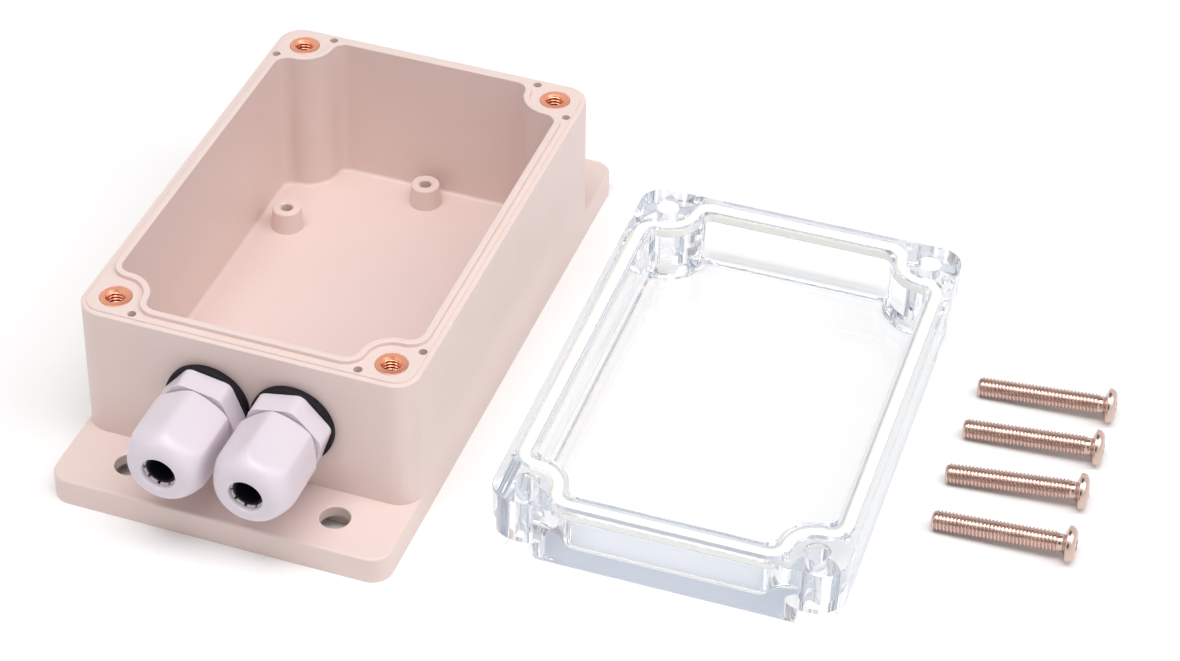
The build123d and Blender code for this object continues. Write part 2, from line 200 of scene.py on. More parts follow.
# Soft lamps, in metres: place, size along and across, share of the power
lamps = (
    ("soft lamp above", (0.06, -0.27, 1.085), (0.9, 0.5), 1.0),
    ("soft lamp on the right", (0.8, 0.0, 0.85), (0.8, 0.8), 0.55),
)
lamp_aim = (0.06, 0.0, 0.02)
# Parts of the studio without white walls, mirrored darker by gloss: direction, cosines from it
# where the dark begins and is full, and the strength there
dark_sides = (((0.12, -0.87, 0.48), 0.93, 0.975, 0.05), ((0.0, 0.4, 0.92), 0.9, 0.965, 0.1))
# Share of that dark that shows in light that has come through the clear lid
dark_through_lid = 0.6


def to_linear(hex_colour):
    """Linear red, green and blue of a colour written as six sRGB hex digits."""
    value = np.array([int(hex_colour[i : i + 2], 16) for i in (0, 2, 4)]) / 255
    return tuple(np.where(value <= 0.04045, value / 12.92, ((value + 0.055) / 1.055) ** 2.4))


# ---------------------------------------------------------------- curves and surfaces


def arc(x, y, r, start, stop, count=25):
    """Points of a circular arc: centre plus r times cosine and sine of an angle in radians."""
    angle = np.linspace(start, stop, count)
    return np.column_stack([x + r * np.cos(angle), y + r * np.sin(angle)])


def evenly(path, count=quarter_points):
    """Points at equal steps of length along a line, found between its own points."""
    length = np.append(0, np.cumsum(np.hypot(*np.diff(path, axis=0).T)))
    at = np.linspace(0, length[-1], count)
    return np.column_stack([np.interp(at, length, path[:, k]) for k in (0, 1)])


def mirrored(quarter):
    """Closed loop from its part between the +X and +Y axes, mirrored in both axes."""
    back = quarter[::-1]
    sides = [quarter, back * (-1, 1), quarter * (-1, -1), back * (1, -1)]
    return np.vstack([side[:-1] for side in sides])


def rounded_loop(half_x, half_y, corner_r, inset=0.0):
    """Rectangle with round corners, moved inward by inset: side, quarter circle, end, mirrored in
    both axes."""
    half_x, half_y, corner_r = half_x - inset, half_y - inset, corner_r - inset
    corner = arc(half_x - corner_r, half_y - corner_r, corner_r, 0, math.pi / 2)
    return mirrored(evenly(np.vstack([(half_x, 0), corner, (0, half_y)])))


def rim_loop(grow, ease=0.0):
    """Opening with the screw bosses standing into it, moved outward by grow.

    A quarter of it is the side, a blend, the boss circle turned inwards, a blend and the end.
    Each blend touches the boss where the line between their centres meets it.
    """
    blend = boss_blend_r + grow + ease
    reach = boss_r - grow + blend
    side_x = opening_half_x + grow - blend
    side_y = boss_y - math.sqrt(reach**2 - (side_x - boss_x) ** 2)
    end_y = opening_half_y + grow - blend
    end_x = boss_x - math.sqrt(reach**2 - (end_y - boss_y) ** 2)
    side_angle = math.atan2(boss_y - side_y, boss_x - side_x)
    end_angle = math.atan2(boss_y - end_y, boss_x - end_x)
    quarter = [
        [(opening_half_x + grow, 0)],
        arc(side_x, side_y, blend, 0, side_angle),
        arc(boss_x, boss_y, boss_r - grow, side_angle - math.pi, end_angle - math.pi),
        arc(end_x, end_y, blend, end_angle, math.pi / 2),
        [(0, opening_half_y + grow)],
    ]
    return mirrored(evenly(np.vstack(quarter)))


def soften(*corners, steps=5):
    """Line through corners (a, b, radius), each rounded by the arc that touches both its sides,
    or left sharp where it has no radius.

    The arc starts radius x tan(half the turn) before the corner and ends as far behind it.
    """
    points = []
    for k, (a, b, *radius) in enumerate(corners):
        here = np.array([a, b])
        if not radius:
            points.append(here[None])
            continue
        back = np.array(corners[k - 1][:2]) - here
        on = np.array(corners[k + 1][:2]) - here
        back, on, r = back / np.linalg.norm(back), on / np.linalg.norm(on), radius[0]
        half = math.acos(np.clip(back @ on, -1, 1)) / 2
        centre = here + (back + on) / np.linalg.norm(back + on) * r / math.sin(half)
        share = np.linspace(-1, 1, steps + 1)[:, None] * (math.pi / 2 - half)
        middle = here - centre
        middle /= np.linalg.norm(middle)
        side = (on - (on @ middle) * middle) / np.linalg.norm(on - (on @ middle) * middle)
        points.append(centre + r * (np.cos(share) * middle + np.sin(share) * side))
    return np.vstack(points)


def straight(r, start, stop, count):
    """Points (radius, along) at equal steps on a line along the axis, fine enough for a thread."""
    return np.column_stack([np.full(count, r), np.linspace(start, stop, count)])


def stacked(rows):
    """Rows of a surface: each (loop, height) is a loop of (x, y) lifted to its height."""
    return np.array([np.column_stack([loop, np.full(len(loop), z)]) for loop, z in rows])


def filled(rows, radius=1.0, shares=(0.35, 0.7, 1.0)):
    """Rows (loop, height) with loops added that fill the flat faces at both ends evenly.

    They lie at shares of the way from the end loop to a small circle about the middle, each
    point along its own direction.
    """
    ends = []
    for loop, z in (rows[0], rows[-1]):
        circle = loop / np.linalg.norm(loop, axis=1)[:, None] * radius
        ends.append([(loop + (circle - loop) * share, z) for share in shares])
    return ends[0][::-1] + rows + ends[1]


def thread(turn, along, pitch, depth, start, end):
    """Depth of a helical groove: a triangle wave of (along / pitch - turn), cut flat at the crest
    and the root, that fades out at both ends."""
    wave = np.abs(2 * np.mod(along / pitch - turn, 1) - 1)
    fade = np.clip(np.minimum(along - start, end - along) / (thread_run_out * pitch), 0, 1)
    return depth * fade * np.clip((wave - thread_crest) / thread_flank, 0, 1)


def hexagon(turn, flats, corner_turn):
    """Radius of a hexagon in a direction: half its width over the flats, over the cosine of the
    angle to the middle of the flat."""
    angle = np.mod(turn * 360 - corner_turn, 60) - 30
    return flats / 2 / np.cos(np.radians(angle))


def softer_of(first, second, blend):
    """Smaller of two radii, with a rounded edge about blend wide where they meet."""
    share = np.clip(0.5 + 0.5 * (second - first) / blend, 0, 1)
    return second + (first - second) * share - blend * share * (1 - share)


def turned(profile, count, radius=None):
    """Rows of a turned surface: each (radius, along) of the profile swept round the axis.

    radius(turn, along, r), where given, changes r for each direction, as threads and flats do.
    """
    profile, turn = np.array(profile), np.arange(count) / count
    angle = 2 * np.pi * turn
    r = np.repeat(profile[:, :1], count, axis=1)
    along = np.repeat(profile[:, 1:], count, axis=1)
    if radius:
        r = radius(turn[None, :], along, r)
    return np.stack([r * np.cos(angle), r * np.sin(angle), along], axis=-1)


def skin(rows, ring=False):
    """Points and faces of a closed surface over rows of closed loops.

    Neighbouring rows are joined by quads. A ring joins its last row to its first; otherwise one
    face closes each end. The sign of the enclosed volume tells which way the faces have to run.
    """
    count, around, _ = rows.shape
    points = rows.reshape(-1, 3)
    index = np.arange(count * around).reshape(count, around)
    low = index if ring else index[:-1]
    high = np.roll(index, -1, 0) if ring else index[1:]
    quads = np.stack([low, np.roll(low, -1, 1), np.roll(high, -1, 1), high], -1).reshape(-1, 4)
    ends = [] if ring else [index[0][::-1], index[-1]]
    a, b, c, d = (points[quads[:, k]] for k in range(4))
    volume = np.sum(a * (np.cross(b, c) + np.cross(c, d)))
    for end in ends:
        p = points[end]
        volume += p[0] @ np.cross(p, np.roll(p, -1, 0)).sum(0)
    faces = quads.tolist() + [end.tolist() for end in ends]
    return points, [face[::-1] for face in faces] if volume < 0 else faces


def at_bosses(profile, count):
    """One turned form as a shell at each of the four screw bosses."""
    rows = turned(profile, count)
    return [skin(rows + (sx * boss_x, sy * boss_y, 0)) for sx in (-1, 1) for sy in (-1, 1)]


def moved(points, place):
    """Points turned and shifted by a 3 x 4 place."""
    return points @ place[:, :3].T + place[:, 3]


# ---------------------------------------------------------------- pieces


def new_object(name, shells, place=None):
    """Object at the origin with one mesh of several shells, moved by a place and made metres."""
    points, faces, count = [], [], 0
    for shell_points, shell_faces in shells:
        points.append(shell_points)
        faces += [[i + count for i in face] for face in shell_faces]
        count += len(shell_points)
    points = np.vstack(points)
    if place is not None:
        points = moved(points, place)
    mesh = bpy.data.meshes.new(name)
    mesh.from_pydata((points / 1000).tolist(), [], faces)
    mesh.update()
    made = bpy.data.objects.new(name, mesh)
    bpy.context.scene.collection.objects.link(made)
    return made


def carve(piece, shells, operation, place=None):
    """Adds shells to a piece or cuts them out of it, and keeps the result as the piece's mesh."""
    tool = new_object("carving_tool", shells, place)
    change = piece.modifiers.new("Carve", "BOOLEAN")
    change.object, change.operation, change.solver = tool, operation, "MANIFOLD"
    bpy.context.view_layer.update()
    carved = piece.evaluated_get(bpy.context.evaluated_depsgraph_get())
    done = bpy.data.meshes.new_from_object(carved)
    piece.modifiers.clear()
    old, piece.data = piece.data, done
    bpy.data.meshes.remove(old)
    bpy.data.meshes.remove(tool.data)
    if not done.polygons:
        raise RuntimeError(f"nothing is left of {piece.name} after carving")


def finished(piece, nodes, material, sharp=35.0):
    """Smooths a piece up to an edge angle, gives it its material and sets it on the CAD body that
    carries the node it replaces."""
    mesh = piece.data
    mesh.materials.clear()
    mesh.materials.append(material)
    mesh.shade_smooth()
    mesh.set_sharp_from_angle(angle=math.radians(sharp))
    even = piece.modifiers.new("Even normals", "WEIGHTED_NORMAL")
    even.keep_sharp = True
    body = frame["nodes"][nodes[0]]["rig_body"]
    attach(piece, body)
    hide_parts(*nodes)


# ---------------------------------------------------------------- materials


def add(tree, kind, inputs=None, **settings):
    """Adds a node with its settings; an input is a value or a socket of another node."""
    node = tree.nodes.new("ShaderNode" + kind)
    for name, value in settings.items():
        setattr(node, name, value)
    for name, value in (inputs or {}).items():
        if isinstance(value, bpy.types.NodeSocket):
            tree.links.new(value, node.inputs[name])
        else:
            node.inputs[name].default_value = value
    return node


def blank_material(name):
    """New material with an empty node tree and coordinates in millimetres of the object's frame."""
    material = bpy.data.materials.new(name)
    material.use_nodes = True
    tree = material.node_tree
    tree.nodes.clear()
    place = add(tree, "TexCoord").outputs["Object"]
    millimetres = add(tree, "Mapping", {"Vector": place, "Scale": (1000, 1000, 1000)})
    return material, tree, millimetres.outputs["Vector"]


def two_tones(tree, pattern, colour, deeper):
    """Colour that goes from itself to a deeper share of itself with a pattern."""
    ramp = add(tree, "ValToRGB", {"Fac": pattern})
    first, last = ramp.color_ramp.elements
    first.color, last.color = (*colour, 1), (*[c * deeper for c in colour], 1)
    return ramp.outputs["Color"]


def any_of(tree, *signs):
    """One where any of some signs is one, and else zero: the largest of them."""
    top = signs[0]
    for other in signs[1:]:
        top = add(tree, "Math", {0: top, 1: other}, operation="MAXIMUM").outputs[0]
    return top


def seen_rays(tree, path):
    """One for rays of the camera, gloss and glass, which see the studio's white, and else zero."""
    kinds = ("Is Camera Ray", "Is Glossy Ray", "Is Transmission Ray")
    return any_of(tree, *[path[kind] for kind in kinds])


def moulded(name, colour, roughness, grain, relief, ior, specular=0.5, deeper=0.94):
    """Injection-moulded plastic or rubber.

    Its colour drifts a little over some centimetres, as melt flow and thickness give it, the
    tool's spark-eroded skin gives a fine grain, and its gloss varies over a few millimetres.
    """
    material, tree, where = blank_material(name)
    drift = {"Vector": where, "Scale": 1 / flow_size, "Detail": 3.0, "Roughness": 0.55}
    flow = add(tree, "TexNoise", drift)
    patches = add(tree, "TexNoise", {"Vector": where, "Scale": 1 / patch_size, "Detail": 2.0})
    spread = {"Value": patches.outputs["Fac"], "From Min": 0.3, "From Max": 0.7}
    spread |= {"To Min": roughness - 0.04, "To Max": roughness + 0.05}
    gloss = add(tree, "MapRange", spread)
    pits = add(tree, "TexNoise", {"Vector": where, "Scale": 1 / grain, "Detail": 2.0})
    height = {"Height": pits.outputs["Fac"], "Strength": 0.6, "Distance": relief / 1000}
    finish = {
        "Base Color": two_tones(tree, flow.outputs["Fac"], colour, deeper),
        "Roughness": gloss.outputs["Result"],
        "IOR": ior,
        "Specular IOR Level": specular,
        "Normal": add(tree, "Bump", height).outputs["Normal"],
    }
    surface = add(tree, "BsdfPrincipled", finish)
    add(tree, "OutputMaterial", {"Surface": surface.outputs[0]})
    return material


def clear_polycarbonate(roughness, edge_tint):
    """Injection-moulded clear polycarbonate from a polished tool: like glass, faintly blue-grey in
    its thick edges, with a slow waviness of the surface.

    Light that only passes through to the table or to another surface goes straight, so that the
    lid keeps its pale shadow without grain. So does light that has already turned many times
    between the plate's faces, where it would end black.
    """
    material, tree, where = blank_material("clear moulded polycarbonate")
    waves = add(tree, "TexNoise", {"Vector": where, "Scale": 1 / wave_size, "Detail": 1.0})
    height = {"Height": waves.outputs["Fac"], "Strength": 0.35, "Distance": wave_relief / 1000}
    finish = {
        "Base Color": (1, 1, 1, 1),
        "Roughness": roughness,
        "IOR": 1.585,
        "Transmission Weight": 1.0,
        "Normal": add(tree, "Bump", height).outputs["Normal"],
    }
    glass = add(tree, "BsdfPrincipled", finish)
    straight_on = add(tree, "BsdfTransparent", {"Color": (*[lid_clearness] * 3, 1)})
    deep = add(tree, "BsdfTransparent", {"Color": (*to_linear(lid_deep_tint), 1)})
    path = add(tree, "LightPath").outputs
    turns = {0: path["Ray Depth"], 1: lid_turns}
    late = add(tree, "Math", turns, operation="GREATER_THAN").outputs[0]
    passing = any_of(tree, path["Is Shadow Ray"], path["Is Diffuse Ray"], late)
    # Light that has turned often has come far through the plate, so it takes the edge's tint
    onward = add(tree, "MixShader", {0: late, 1: straight_on.outputs[0], 2: deep.outputs[0]})
    mixed = add(tree, "MixShader", {0: passing, 1: glass.outputs[0], 2: onward.outputs[0]})
    inside = {"Color": (*edge_tint, 1), "Density": lid_absorption}
    depth_tint = add(tree, "VolumeAbsorption", inside)
    add(tree, "OutputMaterial", {"Surface": mixed.outputs[0], "Volume": depth_tint.outputs[0]})
    return material


def machined_metal(name, colour, roughness, mark, relief):
    """Small turned or rolled metal part: plain metal with fine tool marks and handling scuffs that
    change its gloss. The marks are drawn as coarse as they need to show."""
    material, tree, where = blank_material(name)
    marks = add(tree, "TexNoise", {"Vector": where, "Scale": 1 / mark, "Detail": 4.0})
    stain = add(tree, "TexNoise", {"Vector": where, "Scale": 1 / stain_size, "Detail": 3.0})
    spread = {"Value": marks.outputs["Fac"], "To Min": roughness - 0.08}
    gloss = add(tree, "MapRange", {**spread, "To Max": roughness + 0.12})
    height = {"Height": marks.outputs["Fac"], "Strength": 0.5, "Distance": relief / 1000}
    finish = {
        "Base Color": two_tones(tree, stain.outputs["Fac"], colour, 0.82),
        "Metallic": 1.0,
        "Roughness": gloss.outputs["Result"],
        "Normal": add(tree, "Bump", height).outputs["Normal"],
    }
    surface = add(tree, "BsdfPrincipled", finish)
    add(tree, "OutputMaterial", {"Surface": surface.outputs[0]})
    return material


def table_paper():
    """Matt white paper, without gloss and with fibres just fine enough to break its flatness.

    Far from the pieces it turns into the studio's white for seen rays, without a horizon.
    """
    material, tree, where = blank_material("matt white table paper")
    fibres = add(tree, "TexNoise", {"Vector": where, "Scale": 1 / fibre_size, "Detail": 3.0})
    height = {"Height": fibres.outputs["Fac"], "Strength": 0.2, "Distance": fibre_relief / 1000}
    finish = {
        "Base Color": (*[table_white] * 3, 1),
        "Roughness": 0.9,
        "Specular IOR Level": 0.2,
        "Normal": add(tree, "Bump", height).outputs["Normal"],
    }
    paper = add(tree, "BsdfPrincipled", finish)
    away = add(tree, "VectorMath", {0: where}, operation="LENGTH")
    span = {"Value": away.outputs["Value"], "From Min": white_from, "From Max": white_full}
    far = add(tree, "MapRange", span, interpolation_type="SMOOTHSTEP")
    seen = seen_rays(tree, add(tree, "LightPath").outputs)
    fade = add(tree, "Math", {0: far.outputs["Result"], 1: seen}, operation="MULTIPLY")
    white = add(tree, "Emission", {"Color": (1, 1, 1, 1), "Strength": 1.0})
    swept = {0: fade.outputs[0], 1: paper.outputs[0], 2: white.outputs[0]}
    add(tree, "OutputMaterial", {"Surface": add(tree, "MixShader", swept).outputs[0]})
    return material


def studio_world(sky):
    """Even light of a strength from all round, which seen rays see as plain white, except in the
    dark sides that gloss mirrors."""
    world = bpy.data.worlds.new("even studio light")
    world.use_nodes = True
    tree = world.node_tree
    tree.nodes.clear()
    path = add(tree, "LightPath").outputs
    seen = {"Value": seen_rays(tree, path), "To Min": sky, "To Max": 1.0}
    strength = add(tree, "MapRange", seen).outputs["Result"]
    # How much a ray mirrors: all of it off plain gloss, less once it has come through the lid
    through = {"Value": path["Transmission Depth"], "To Min": 1.0, "To Max": dark_through_lid}
    gloss = {0: path["Is Glossy Ray"], 1: add(tree, "MapRange", through).outputs["Result"]}
    mirrors = add(tree, "Math", gloss, operation="MULTIPLY").outputs[0]
    towards = add(tree, "TexCoord").outputs["Generated"]
    for side, begins, full, dark in dark_sides:
        facing = add(tree, "VectorMath", {0: towards, 1: side}, operation="DOT_PRODUCT")
        span = {"Value": facing.outputs["Value"], "From Min": begins, "From Max": full}
        span |= {"To Min": 1.0, "To Max": dark}
        darker = add(tree, "MapRange", span, interpolation_type="SMOOTHSTEP").outputs["Result"]
        dimmed = add(tree, "MapRange", {"Value": mirrors, "To Min": 1.0, "To Max": darker})
        factors = {0: strength, 1: dimmed.outputs["Result"]}
        strength = add(tree, "Math", factors, operation="MULTIPLY").outputs[0]
    light = add(tree, "Background", {"Color": (1, 1, 1, 1), "Strength": strength})
    add(tree, "OutputWorld", {"Surface": light.outputs[0]})
    return world


# ---------------------------------------------------------------- settings


def colour_setting(name, description, hex_colour):
    """Property for a colour, its default written as six sRGB hex digits."""
    return FloatVectorProperty(
        name=name,
        description=description,
        subtype="COLOR",
        min=0,
        max=1,
        default=to_linear(hex_colour),
    )


def length_setting(name, description, least, default):
    """Property for a length in metres."""
    return FloatProperty(
        name=name, description=description, unit="LENGTH", min=least, default=default
    )


class EnclosureBoxSettings(bpy.types.PropertyGroup):
    """Finish of the box moulding."""

    colour: colour_setting("Box colour", "Colour of the moulded box", "E8D3CD")
    roughness: FloatProperty(
        name="Roughness", description="Roughness of the moulded skin", min=0.1, max=1, default=0.42
    )
    grain: length_setting("Grain size", "Size of the moulded skin's grain", 0.0001, 0.0005)


class EnclosureLidSettings(bpy.types.PropertyGroup):
    """Finish of the clear lid and its sealing cord."""

    tint: colour_setting("Lid tint", "Tint of the clear lid", "D2D8DF")
    roughness: FloatProperty(
        name="Roughness", description="Haze of the clear lid", min=0, max=1, default=0.03
    )
    cord_colour: colour_setting("Cord colour", "Colour of the sealing cord", "FBFAF3")


class EnclosureGlandSettings(bpy.types.PropertyGroup):
    """Finish of the cable glands."""

    colour: colour_setting("Gland colour", "Colour of the moulded gland bodies and nuts", "E0D5DE")
    rubber: colour_setting("Rubber colour", "Colour of the washers and sleeves", "151018")
    thread_pitch: length_setting("Thread pitch", "Pitch of the gland threads", 0.0005, 0.0015)


class EnclosureMetalSettings(bpy.types.PropertyGroup):
    """Threads and finish of the screws and inserts."""

    screw_colour: colour_setting("Screw colour", "Colour of the plated screws", "DABFB5")
    insert_colour: colour_setting("Insert colour", "Colour of the threaded inserts", "F8AC8C")
    thread_pitch: length_setting("Thread pitch", "Pitch of the screw thread", 0.0003, 0.0007)
    thread_depth: length_setting("Thread depth", "Depth of the screw thread", 0.0001, 0.0003)


class EnclosureStageSettings(bpy.types.PropertyGroup):
    """Light of the studio."""

    sky: FloatProperty(
        name="Sky", description="Strength of the even light from all round", min=0, default=0.41
    )
    lamp_watts: FloatProperty(
        name="Lamp", description="Power of the soft lamp above", unit="POWER", min=0, default=7.6
    )


# ---------------------------------------------------------------- operators


class ENCLOSURE_OT_box(bpy.types.Operator):
    """Makes the box moulding with its ears, rim, bosses and standoffs"""

    bl_idname = "enclosure.box"
    bl_label = "Box moulding"

    def execute(self, context):
        settings = context.scene.enclosure_box
        # The long sides lean in by the draft; only the rounding beyond it narrows the ends too
        draft = box_half_x - box_top_half_x
        outer = soften((0.0, 0.0), (0.0, ear_height), (draft, shelf_z, 0.3), (1.0, shelf_z))
        rows = []
        for inset, z in outer[:-1]:
            rounding = max(inset - draft, 0)
            end_y, corner_r = box_half_y - rounding, box_corner_r - rounding
            rows.append((rounded_loop(box_half_x - inset, end_y, corner_r), z))
        step = soften((0.0, shelf_z), (0.0, rim_z, 0.1), (0.4, rim_z), steps=3)
        shelf = (shelf_half_x, shelf_half_y, shelf_corner_r)
        rows += [(rounded_loop(*shelf, inset), z) for inset, z in step]
        inner = soften(
            (tongue_width + 0.2, rim_z),
            (tongue_width, rim_z),
            (tongue_width, tongue_z, 0.25),
            (0.0, tongue_z, 0.25),
            (0.0, floor_z, floor_blend_r),
            (-2.0, floor_z),
        )
        rows += [(rim_loop(grow), z) for grow, z in inner]
        piece = new_object("box_moulding", [skin(stacked(filled(rows)))])

        edge = soften((0, 0), (0, ear_height, ear_edge_r), (2, ear_height))[:-1]
        plate = [
            (rounded_loop(box_half_x, ear_half_y, ear_corner_r, inset), z) for inset, z in edge
        ]
        lap = rounded_loop(box_half_x, box_half_y, box_corner_r, ear_lap)
        plate += [(lap, ear_height), (lap, 0)]
        carve(piece, [skin(stacked(plate), ring=True)], "UNION")
        post = soften(
            (standoff_base_r, floor_z - past),
            (standoff_base_r, floor_z + 0.02),
            (standoff_top_r, standoff_z, 0.35),
            (pilot_r + 0.25, standoff_z),
            (pilot_r, standoff_z - 0.25),
            (pilot_r, standoff_z - pilot_depth),
        )
        carve(piece, [skin(turned(post, 64) + (x, y, 0)) for x, y in standoffs], "UNION")

        seat = [
            (tip_passage_r, tip_passage_z),
            (tip_passage_r, rim_z - seat_depth),
            (seat_r, rim_z - seat_depth),
            (seat_r, rim_z - edge_break),
            (seat_r + edge_break, rim_z),
            (seat_r + edge_break, rim_z + past / 2),
        ]
        pin_hole = straight(pin_hole_r, rim_z - pin_hole_depth, rim_z + past / 2, 2)
        pocket = rounded_loop(*ear_pocket)
        cuts = at_bosses(seat, 72)
        cuts += [skin(turned(pin_hole, 28) + (x, y, 0)) for x, y in rim_pins]
        cuts += [
            skin(stacked([(pocket + (0, y), z) for z in (-past, ear_height - ear_skin)]))
            for y in (-ear_pocket_y, ear_pocket_y)
        ]
        carve(piece, cuts, "DIFFERENCE")
        eyelet = soften(
            (ear_hole_r, -past),
            (ear_hole_r, ear_height, 0.25),
            (ear_hole_r + 0.6, ear_height),
            (ear_hole_r + 0.6, ear_height + past),
        )
        carve(piece, [skin(turned(eyelet, 64) + (x, y, 0)) for x, y in ear_holes], "DIFFERENCE")
        port = turned(straight(gland_hole_r, -gland_hole_depth, past, 2), 72)
        ports = [skin(moved(port, gland_place(x))) for x in gland_x.values()]
        carve(piece, ports, "DIFFERENCE")
        plastic = moulded(
            "cream ABS, fine-eroded mould skin",
            settings.colour,
            settings.roughness,
            grain=settings.grain * 1000,
            relief=0.012,
            ior=1.53,
        )
        finished(piece, ["base_box"], plastic)
        return {"FINISHED"}


def gland_place(x):
    """Place of a gland at x: its axis runs outward along -Y, its own up stays up."""
    return np.array([(1, 0, 0, x), (0, 0, -1, -box_half_y), (0, 1, 0, gland_z)], float)


class ENCLOSURE_OT_inserts(bpy.types.Operator):
    """Makes the four threaded inserts in the rim"""

    bl_idname = "enclosure.inserts"
    bl_label = "Threaded inserts"

    def execute(self, context):
        settings = context.scene.enclosure_metal
        pitch, depth = settings.thread_pitch * 1000, settings.thread_depth * 1000
        waist_top = insert_waist_half - insert_length / 2
        waist_foot = -insert_waist_half - insert_length / 2
        outside = soften(
            (insert_bore_r + insert_lead_in, 0),
            (insert_r, 0, 0.12),
            (insert_r, waist_top),
            (insert_waist_r, waist_top),
            (insert_waist_r, waist_foot),
            (insert_r, waist_foot),
            (insert_r, -insert_length),
            (insert_bore_r + 0.3, -insert_length),
            steps=3,
        )
        bore = straight(insert_bore_r, -insert_length, -insert_lead_in, 125)
        thread_end = -insert_lead_in * 0.6

        def with_thread(turn, along, r):
            """Groove of the thread, deeper into the metal, only in the bore's rows."""
            groove = thread(turn, along, pitch, depth, -insert_length, thread_end)
            return r + (r < insert_bore_r + 0.01) * groove

        rows = turned(np.vstack([outside, bore]), 56, with_thread)
        metal = machined_metal(
            "brass insert, turned, warm copper tone",
            settings.insert_colour,
            roughness=0.3,
            mark=0.25,
            relief=0.004,
        )
        for end, sy in (("front", -1), ("back", 1)):
            for side, sx in (("left", -1), ("right", 1)):
                shell = skin(rows + (sx * boss_x, sy * boss_y, rim_z), ring=True)
                piece = new_object(f"threaded_insert_{end}_{side}", [shell])
                finished(piece, [f"insert_{end}_{side}"], metal)
        return {"FINISHED"}


def lid_frame():
    """Place of the lid's own frame: turned on the table about the upright axis."""
    c, s = math.cos(math.radians(lid_turn)), math.sin(math.radians(lid_turn))
    return np.array([(c, -s, 0, lid_place[0]), (s, c, 0, lid_place[1]), (0, 0, 1, 0)])


class ENCLOSURE_OT_lid(bpy.types.Operator):
    """Makes the clear lid with its sealing groove, screw holes and locating pins"""

    bl_idname = "enclosure.lid"
    bl_label = "Clear lid"

    def execute(self, context):
        settings = context.scene.enclosure_lid
        place = lid_frame()
        outer = soften(
            (-4.0, 0.0),
            (0.0, 0.0, lid_edge_r),
            (0.35, lid_height, 0.2),
            (-0.4, lid_height),
            steps=8,
        )
        rows = [
            (rounded_loop(lid_face_half_x + g, lid_face_half_y + g, box_corner_r + min(g, 0)), z)
            for g, z in outer
        ]
        groove = soften(
            (groove_outer + 0.3, lid_height),
            (groove_outer, lid_height, 0.12),
            (groove_outer, groove_z, 0.25),
            (groove_inner, groove_z, 0.25),
            (groove_inner, lid_height, 0.12),
            (groove_inner - 0.3, lid_height),
            steps=4,
        )
        rows += [(rim_loop(g), z) for g, z in groove]
        cavity = soften(
            (cavity_grow + 0.3, lid_height),
            (cavity_grow, lid_height, 0.15),
            (cavity_grow, lid_plate, lid_floor_blend_r),
            (cavity_grow - lid_floor_blend_r - 0.01, lid_plate),
            steps=8,
        )
        rows += [(rim_loop(g, lid_boss_ease), z) for g, z in cavity]
        piece = new_object("clear_lid", [skin(stacked(filled(rows)))], place)
        hole = [
            (counterbore_r + edge_break, -past),
            (counterbore_r + edge_break, 0.0),
            (counterbore_r, edge_break),
            (counterbore_r, counterbore_depth),
            (lid_hole_r, counterbore_depth),
            (lid_hole_r, lid_height - 0.2),
            (lid_hole_r + 0.2, lid_height),
            (lid_hole_r + 0.2, lid_height + past),
        ]
        carve(piece, at_bosses(hole, 64), "DIFFERENCE", place)
        pin = soften(
            (lid_pin_r, lid_height - past),
            (lid_pin_r, lid_height + lid_pin_height, 0.2),
            (0.1, lid_height + lid_pin_height),
            steps=4,
        )
        # The lid lies turned over, so its pins stand mirrored to the holes in the rim
        carve(piece, [skin(turned(pin, 24) + (x, -y, 0)) for x, y in rim_pins], "UNION", place)
        clear = clear_polycarbonate(settings.roughness, settings.tint)
        finished(piece, ["lid"], clear)

        cord_middle = (cord_outer + cord_inner) / 2
        section = soften(
            (cord_middle, cord_low),
            (cord_outer, cord_low, 0.3),
            (cord_outer, cord_high, cord_edge_r),
            (cord_inner, cord_high, cord_edge_r),
            (cord_inner, cord_low, 0.3),
            (cord_middle, cord_low),
            steps=6,
        )[:-1]
        shell = skin(stacked([(rim_loop(g), z) for g, z in section]), ring=True)
        cord = new_object("sealing_cord", [shell], place)
        rubber = moulded(
            "extruded cream silicone sealing cord",
            settings.cord_colour,
            roughness=0.5,
            grain=0.35,
            relief=0.01,
            ior=1.43,
            deeper=0.97,
        )
        finished(cord, ["lid_gasket"], rubber, sharp=50)
        return {"FINISHED"}


